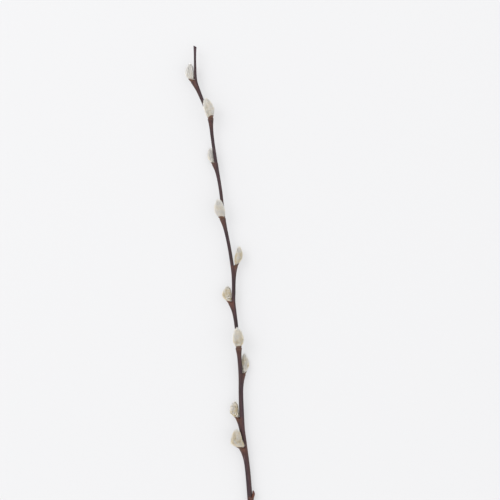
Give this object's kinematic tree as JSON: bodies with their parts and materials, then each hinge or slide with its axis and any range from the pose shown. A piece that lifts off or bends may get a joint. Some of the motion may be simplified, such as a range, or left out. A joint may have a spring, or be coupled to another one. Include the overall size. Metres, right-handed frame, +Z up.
{
  "type": "willow twig",
  "caption": "Cut pussy willow twig lying on a surface: a slender, slightly crooked woody stem with furry silver catkins in small dry bud hoods, and closed buds near its foot.",
  "frame": {"origin": "on the surface it lies on, under the middle of the twig's box", "axes": "+Y along the twig from the cut foot to the tip, +Z up from the surface, +X to the right when the twig is seen from above with its tip away"},
  "size_m": [0.0718, 0.516, 0.021],
  "materials": {
    "bark": "smooth purple-brown bark with pale pores, reddish below each bud; pale wood at the cuts",
    "catkin_fur": "dense silky silver-white hair, cream to grey beneath",
    "bud_scale": "thin dry scale, satin, straw to tan with darker brown edges",
    "dormant_bud": "smooth closed bud scale, glossy reddish brown"
  },
  "bodies": {
    "root": {"stem": "bark", "catkin_01": "catkin_fur", "bud_scale_01": "bud_scale", "catkin_02": "catkin_fur", "bud_scale_02": "bud_scale", "catkin_03": "catkin_fur", "bud_scale_03": "bud_scale", "catkin_04": "catkin_fur", "bud_scale_04": "bud_scale", "catkin_05": "catkin_fur", "bud_scale_05": "bud_scale", "catkin_06": "catkin_fur", "bud_scale_06": "bud_scale", "catkin_07": "catkin_fur", "bud_scale_07": "bud_scale", "catkin_08": "catkin_fur", "bud_scale_08": "bud_scale", "catkin_09": "catkin_fur", "bud_scale_09": "bud_scale", "catkin_10": "catkin_fur", "bud_scale_10": "bud_scale", "dormant_bud_01": "dormant_bud", "dormant_bud_02": "dormant_bud"}
  },
  "joints": []
}
